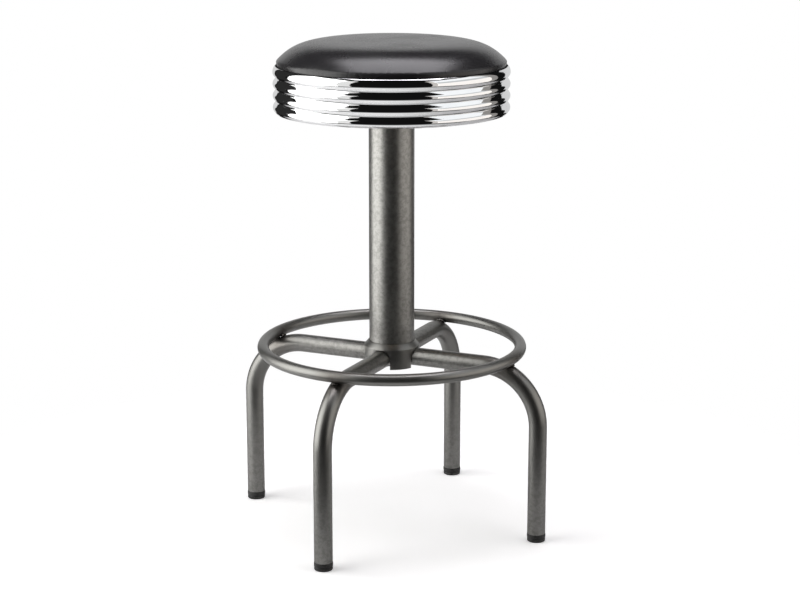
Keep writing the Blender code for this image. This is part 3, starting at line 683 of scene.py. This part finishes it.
def pad_profile():
    """The pad's section as it should end up, from the middle of its top over the crown and down its
    wall into the band: (place, outward direction) pairs, close together, with the shoulder rounded."""
    shoulder = COVER_HIGH.z - crown_height(0)
    rough = [Vector((0, COVER_HIGH.z))]
    for step in range(1, 1401):
        radius = COVER_RADIUS * step / 1400
        point = Vector((radius, shoulder + crown_height(radius)))
        if (point - rough[-1]).length > 0.5 * MM:
            rough.append(point)
    drop = 0
    while shoulder - drop > PAD_TUCK_Z - 8 * MM:
        tucked = COVER_RADIUS - 0.09 * drop**2 / MM
        rough.append(Vector((max(tucked, PAD_WAIST), shoulder - drop)))
        drop += 0.5 * MM
    for _ in range(24):
        inner = [(a + 2 * b + c) / 4 for a, b, c in zip(rough, rough[1:], rough[2:])]
        rough = rough[:1] + inner + rough[-1:]
    profile = [(rough[0], Vector((0, 1)))]
    for before, point, after in zip(rough, rough[1:], rough[2:]):
        along = (after - before).normalized()
        profile.append((point, Vector((-along.y, along.x))))
    return profile


def cushion_outline(shrink):
    """The pad's section drawn in by a margin all round, from the middle of its top to its base."""
    base = BOARD_TOP_Z + 0.5 * MM
    points = [point - out * shrink for point, out in pad_profile()[::4] if point.y > PAD_TUCK_Z]
    waist = PAD_WAIST - shrink
    points[0] = Vector((0, points[0].y))
    points += [(waist, PAD_TUCK_Z - 4 * MM), (waist, base + 3 * MM), (waist - 3 * MM, base), (0, base)]
    return points


def build_cushion():
    """The pad: a closed crowned form, blown up as cloth under pressure from a slightly smaller one."""
    start = 2.4 * MM  # the pressure makes up the rest
    bm = turned(cushion_outline(start), 96)
    pad = finish_piece("seat_cushion", bm, VINYL, "seat", ["seat_cover", "seat_foam"], sharp=180)
    remesh = pad.modifiers.new("even net", "REMESH")
    remesh.mode = "VOXEL"
    remesh.voxel_size = 5 * MM
    settle(pad)
    relax(pad, 6)
    inflate(pad)
    keep_profile(pad, least=-0.2 * MM, most=0.15 * MM)
    fine = pad.modifiers.new("fine net", "SUBSURF")
    fine.levels = 1
    fine.render_levels = 1
    settle(pad)
    keep_profile(pad, least=-0.2 * MM, most=0.15 * MM)
    pad.data.shade_smooth()


def relax(pad, rounds):
    """Evens out the steps that the net leaves in the crown and the wall."""
    bm = bmesh.new()
    bm.from_mesh(pad.data)
    free = [vert for vert in bm.verts if vert.co.z > PAD_TUCK_Z]
    every_way = {"use_axis_x": True, "use_axis_y": True, "use_axis_z": True}
    for _ in range(rounds):
        bmesh.ops.smooth_vert(bm, verts=free, factor=0.5, **every_way)
    bm.to_mesh(pad.data)
    bm.free()


def inflate(pad):
    """Runs the pad as cloth under pressure, with the part inside the band held still."""
    held = pad.vertex_groups.new(name="held")
    held.add([vert.index for vert in pad.data.vertices if vert.co.z < PAD_TUCK_Z], 1.0, "REPLACE")
    cloth = pad.modifiers.new("stuffing", "CLOTH")
    settings = cloth.settings
    settings.quality = 6
    settings.mass = 0.35
    settings.tension_stiffness = 30
    settings.compression_stiffness = 30
    settings.shear_stiffness = 15
    settings.bending_stiffness = 8
    settings.vertex_group_mass = "held"
    settings.use_pressure = True
    settings.uniform_pressure_force = 4
    settings.effector_weights.gravity = 0
    cloth.collision_settings.use_collision = False
    cloth.point_cache.frame_start = 1
    cloth.point_cache.frame_end = 20
    scene = bpy.context.scene
    for number in range(1, 21):
        scene.frame_set(number)
    settle(pad)
    scene.frame_set(1)
    pad.vertex_groups.clear()


def keep_profile(pad, least, most):
    """Holds the blown-up pad close to its section, and evens out how far each point stands off it."""
    profile = pad_profile()
    places = numpy.array([point for point, out in profile])
    ways = numpy.array([out for point, out in profile])
    mesh = pad.data
    points = numpy.array([vert.co for vert in mesh.vertices])
    radii = numpy.hypot(points[:, 0], points[:, 1])
    flat = numpy.column_stack((radii, points[:, 2]))
    gaps = numpy.hypot(flat[:, :1] - places[:, 0], flat[:, 1:] - places[:, 1])
    nearest = gaps.argmin(axis=1)
    ways = ways[nearest]
    proud = ((flat - places[nearest]) * ways).sum(axis=1)
    edges = numpy.array([tuple(edge.vertices) for edge in mesh.edges])
    count = numpy.bincount(edges.ravel(), minlength=len(points))
    kept = numpy.clip(proud, least, most)
    for _ in range(40):
        total = numpy.bincount(edges[:, 0], kept[edges[:, 1]], len(points))
        total += numpy.bincount(edges[:, 1], kept[edges[:, 0]], len(points))
        kept = (kept + total) / (1 + count)
    share = numpy.clip((points[:, 2] - PAD_TUCK_Z) / (5 * MM), 0, 1)
    flat += ways * ((kept - proud) * share)[:, None]
    scale = flat[:, 0] / numpy.maximum(radii, 1e-6)
    for vert, widen, height in zip(mesh.vertices, scale, flat[:, 1]):
        vert.co = (vert.co.x * widen, vert.co.y * widen, height)


def build_cover_hem():
    """The cover's skirt: round the board's edge and pleated where it is stapled under it."""
    chance = random.Random(7)
    pleats = [(chance.uniform(0, math.tau), chance.uniform(0.5, 1.0)) for _ in range(64)]
    rim = PAD_WAIST
    low = COVER_LOW.z + 0.6 * MM
    outline = [(rim, COVER_HIGH.z - 48 * MM)]
    outline += arc((rim - 2.5 * MM, low + 2.5 * MM), 2.5 * MM, 0, -90, 6)
    outline += [(rim - (3.5 + step) * MM, low) for step in range(9)]
    bm = bmesh.new()
    verts = [bm.verts.new((radius, 0, height)) for radius, height in outline]
    edges = [bm.edges.new(pair) for pair in zip(verts, verts[1:])]
    bmesh.ops.spin(
        bm, geom=verts + edges, cent=(0, 0, 0), axis=(0, 0, 1), angle=math.tau, steps=512, use_merge=True
    )
    for vert in bm.verts:
        reach = max(0.0, (rim - 2.5 * MM - Vector((vert.co.x, vert.co.y)).length) / (9 * MM))
        if reach > 0:
            angle = math.atan2(vert.co.y, vert.co.x)
            fold = sum(
                size * max(0.0, 1 - abs(math.remainder(angle - at, math.tau)) / 0.028) for at, size in pleats
            )
            vert.co.z -= min(fold, 1.2) * reach * MM
    bmesh.ops.recalc_face_normals(bm, faces=bm.faces)
    hem = finish_piece("cover_hem", bm, VINYL, "seat", sharp=60)
    thick = hem.modifiers.new("vinyl", "SOLIDIFY")
    thick.thickness = 0.9 * MM
    thick.offset = 0


def build_staples():
    """Wire staples that hold the hem to the board."""
    count = 40
    low = COVER_LOW.z - 0.1 * MM
    radius = COVER_RADIUS - 8.5 * MM
    bm = bmesh.new()
    chance = random.Random(3)
    for number in range(count):
        angle = math.tau * (number + chance.uniform(-0.2, 0.2)) / count
        crown = Matrix.Rotation(angle, 4, "Z") @ Matrix.Translation((radius, 0, low))
        crown = crown @ Matrix.Rotation(chance.uniform(-0.25, 0.25), 4, "Z")
        bmesh.ops.create_cone(
            bm,
            cap_ends=True,
            segments=8,
            radius1=0.5 * MM,
            radius2=0.5 * MM,
            depth=10 * MM,
            matrix=crown @ Matrix.Rotation(math.pi / 2, 4, "X"),
        )
        for end in (-1, 1):
            leg = crown @ Matrix.Translation((0, end * 4.6 * MM, 1.0 * MM))
            bmesh.ops.create_cone(
                bm, cap_ends=True, segments=8, radius1=0.5 * MM, radius2=0.5 * MM, depth=2.4 * MM, matrix=leg
            )
    finish_piece("hem_staples", bm, ZINC, "seat")


# --- Hardware ----------------------------------------------------------------------------------


def build_screws(stem, nodes_stem, body, cross):
    """Pan-head screws with a cross recess, seen from below."""
    for side in SIDES:
        node = f"{nodes_stem}_{side}"
        low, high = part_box(node)
        centre = (low + high) / 2
        head = (high.x - low.x) / 2
        thick = head * 0.55
        shank = head * 0.5
        outline = [(0, low.z)]
        outline += [
            (head * math.sin(math.radians(angle)), low.z + thick * (1 - math.cos(math.radians(angle))))
            for angle in range(10, 91, 10)
        ]
        outline += [(shank, low.z + thick), (shank, high.z - 1 * MM), (shank * 0.6, high.z), (0, high.z)]
        bm = turned(outline, 40)
        bmesh.ops.translate(bm, verts=bm.verts, vec=(centre.x, centre.y, 0))
        screw = finish_piece(f"{stem}_{side}", bm, ZINC, body, [node])
        for turn in (0, 90):
            slot = bmesh.new()
            size = Matrix.Diagonal((head * 1.1, head * 0.24, thick, 1))
            turned_to = Matrix.Rotation(math.radians(turn + cross), 4, "Z")
            at = Matrix.Translation((centre.x, centre.y, low.z)) @ turned_to
            bmesh.ops.create_cube(slot, size=1.0, matrix=at @ size)
            cut_away(screw, slot)
        screw.data.shade_smooth()
        screw.data.set_sharp_from_angle(angle=math.radians(35))


def dress_cad_nodes():
    """The hardware whose shape is right as built gets its finish."""
    finishes = {"zinc_steel": ZINC, "satin_steel": STEEL, "plywood": PLYWOOD}
    slots = {row["node"]: row["material_slot"] for row in frame["record"]["subparts"]}
    for name, item in frame["nodes"].items():
        if item.hide_render:
            continue
        for slot in item.material_slots:
            slot.material = finishes[slots[name]]


# --- Stage -------------------------------------------------------------------------------------


VIEW_TURN = -20.4  # degrees round the stool, where 0 looks along +Y
VIEW_DISTANCE = 3.050
VIEW_HEIGHT = 1.1026
VIEW_PITCH = 13.72
VIEW_SWING = 0.24
LENS = 90.9


def around(degrees, distance, height):
    """A point round the stool, with 0 at the viewer and positive to the viewer's right."""
    angle = math.radians(VIEW_TURN + degrees)
    return Vector((math.sin(angle) * distance, -math.cos(angle) * distance, height))


def build_camera():
    data = bpy.data.cameras.new("camera")
    data.sensor_width = 36
    data.lens = LENS
    data.clip_start = 0.05
    camera = bpy.data.objects.new("camera", data)
    bpy.context.scene.collection.objects.link(camera)
    camera.location = around(0, VIEW_DISTANCE, VIEW_HEIGHT)
    camera.rotation_euler = (math.radians(90 - VIEW_PITCH), 0, math.radians(VIEW_TURN - VIEW_SWING))
    bpy.context.scene.camera = camera


def softbox(name, centre, target, width, height, radiance, tint=(1, 1, 1), upright=(0, 0, 1)):
    """A rectangular light that faces a target and is seen only in reflections."""
    data = bpy.data.lights.new(name, "AREA")
    data.shape = "RECTANGLE"
    data.size = width
    data.size_y = height
    data.color = tint
    data.energy = radiance * math.pi * width * height
    light = bpy.data.objects.new(name, data)
    bpy.context.scene.collection.objects.link(light)
    back = (Vector(centre) - Vector(target)).normalized()
    across = Vector(upright).cross(back).normalized()
    turn = Matrix((across, back.cross(across), back)).transposed().to_4x4()
    light.matrix_world = Matrix.Translation(centre) @ turn
    light.visible_camera = False


def wall_of_light(name, degrees, distance, width, bands, tint):
    """Upright softboxes stacked on one side, each given as (low, high, radiance)."""
    for number, (low, high, radiance) in enumerate(bands):
        middle = (low + high) / 2
        centre = around(degrees, distance, middle)
        softbox(f"{name}_{number}", centre, (0, 0, middle), width, high - low, radiance, tint)


def build_lights():
    away = around(180, 1, 0)
    cool, warm = (1.0, 0.995, 0.98), (1.0, 0.955, 0.91)
    wall_of_light("left", -82, 1.5, 1.76, [(-0.05, 1.3, 3.05), (1.3, 2.6, 2.5)], cool)
    wall_of_light("left_edge", -45, 1.75, 0.43, [(-0.05, 2.6, 0.85)], cool)
    wall_of_light("left_back", -131, 1.8, 0.9, [(0.0, 2.4, 0.02)], cool)
    wall_of_light("right_low", 75, 1.6, 2.0, [(0.0, 1.2, 1.08)], warm)
    wall_of_light("right", 75, 1.6, 2.0, [(1.2, 1.65, 0.62), (1.65, 2.6, 1.05)], (0.965, 0.985, 1.0))
    wall_of_light("right_front_edge", 40.5, 1.85, 0.2, [(-0.05, 2.6, 0.6)], warm)
    wall_of_light("right_back_edge", 112, 1.75, 0.34, [(-0.05, 2.6, 0.28)], warm)
    over = away * 0.14 + around(90, 0.10, 2.3)
    softbox("top", over, over - Vector((0, 0, 1)), 1.63, 1.2, 4.9, (0.975, 0.955, 1.0), away)
    softbox("back", around(174, 2.4, 0.9), (0, 0, 0.9), 3.5, 1.9, 0.68)


def build_world():
    """White where the viewer looks past the stool. For light and reflections a dark room, whose pale
    ground shows only well below the horizon and is brighter on the left."""
    world = bpy.data.worlds.new("studio")
    bpy.context.scene.world = world
    world.use_nodes = True
    tree = world.node_tree
    tree.nodes.clear()
    output = tree.nodes.new("ShaderNodeOutputWorld")
    seen = add_node(tree, "Background", {"Color": (1, 1, 1, 1), "Strength": 1.0})
    toward = add_node(tree, "TexCoord").outputs["Generated"]
    steep = add_node(tree, "SeparateXYZ", {0: toward}).outputs["Z"]
    left = around(-90, 1, 0)
    leftness = add_node(tree, "VectorMath", {0: toward, 1: left}, operation="DOT_PRODUCT").outputs["Value"]
    ground = remap(tree, steep, -0.42, -0.86)
    level = add_node(tree, "Math", {0: leftness, 1: 0.3, 2: 0.86}, operation="MULTIPLY_ADD").outputs[0]
    glow = math_node(tree, "MULTIPLY", ground, level)
    room = add_node(tree, "Background", {"Color": (1, 1, 1, 1)})
    tree.links.new(math_node(tree, "ADD", glow, 0.006), room.inputs["Strength"])
    path = add_node(tree, "LightPath")
    mix = add_node(tree, "MixShader")
    tree.links.new(path.outputs["Is Camera Ray"], mix.inputs[0])
    tree.links.new(room.outputs[0], mix.inputs[1])
    tree.links.new(seen.outputs[0], mix.inputs[2])
    tree.links.new(mix.outputs[0], output.inputs["Surface"])


def build_floor():
    """A pale floor that fades out into the white behind it. In reflections it is a smooth board that
    ends in front of the stool, and is brighter on the left."""
    material, tree, shader, place = start_material("floor", Emission_Strength=1.0)
    seen = add_node(tree, "LightPath").outputs["Is Camera Ray"]
    # Painted light: in reflections the floor's colour is painted lighter on the left and darker on the
    # right. This stands in for the stronger lamps on the left, not for any real difference in the floor.
    aside = add_node(tree, "VectorMath", {0: place, 1: around(90, 1, 0)}, operation="DOT_PRODUCT")
    tone = remap(tree, aside.outputs["Value"], -0.5, 0.6, 0.78, 0.54, smooth=False)
    tone = math_node(tree, "MAXIMUM", tone, math_node(tree, "MULTIPLY", seen, 0.93))
    tree.links.new(mix_colour(tree, tone, (0, 0, 0), (1, 1, 1)), shader.inputs["Base Color"])
    tree.links.new(remap(tree, seen, 0, 1, 0.22, 0.9), shader.inputs["Roughness"])
    away = add_node(tree, "VectorMath", {0: place}, operation="LENGTH").outputs["Value"]
    forward = add_node(tree, "VectorMath", {0: place, 1: around(0, 1, 0)}, operation="DOT_PRODUCT")
    near = remap(tree, forward.outputs["Value"], 0.45, 0.12)
    near = math_node(tree, "MULTIPLY", near, remap(tree, away, 1.55, 1.1))
    shown = add_node(tree, "Mix", {0: seen, 2: near, 3: remap(tree, away, 0.85, 0.45)}, data_type="FLOAT")
    above = math_node(tree, "SUBTRACT", 1.0, add_node(tree, "NewGeometry").outputs["Backfacing"])
    tree.links.new(math_node(tree, "MULTIPLY", shown.outputs[0], above), shader.inputs["Alpha"])
    tree.links.new(mix_colour(tree, seen, (0, 0, 0), (0.3, 0.3, 0.3)), shader.inputs["Emission Color"])
    bm = bmesh.new()
    bmesh.ops.create_circle(bm, cap_ends=True, segments=96, radius=1.6)
    mesh = bpy.data.meshes.new("floor")
    bm.to_mesh(mesh)
    bm.free()
    mesh.materials.append(material)
    floor = bpy.data.objects.new("floor", mesh)
    bpy.context.scene.collection.objects.link(floor)


build_camera()
build_world()
build_lights()
build_floor()
build_legs()
build_foot_caps()
build_footrest_ring()
build_ring_welds()
build_hub_welds()
build_column()
build_collar()
build_band()
build_cushion()
build_cover_hem()
build_staples()
build_screws("seat_fixing", "seat_screw", "seat", 20)
build_screws("clip_fixing", "band_clip_screw", "seat", 35)
dress_cad_nodes()
bpy.context.scene.view_settings.view_transform = "Standard"
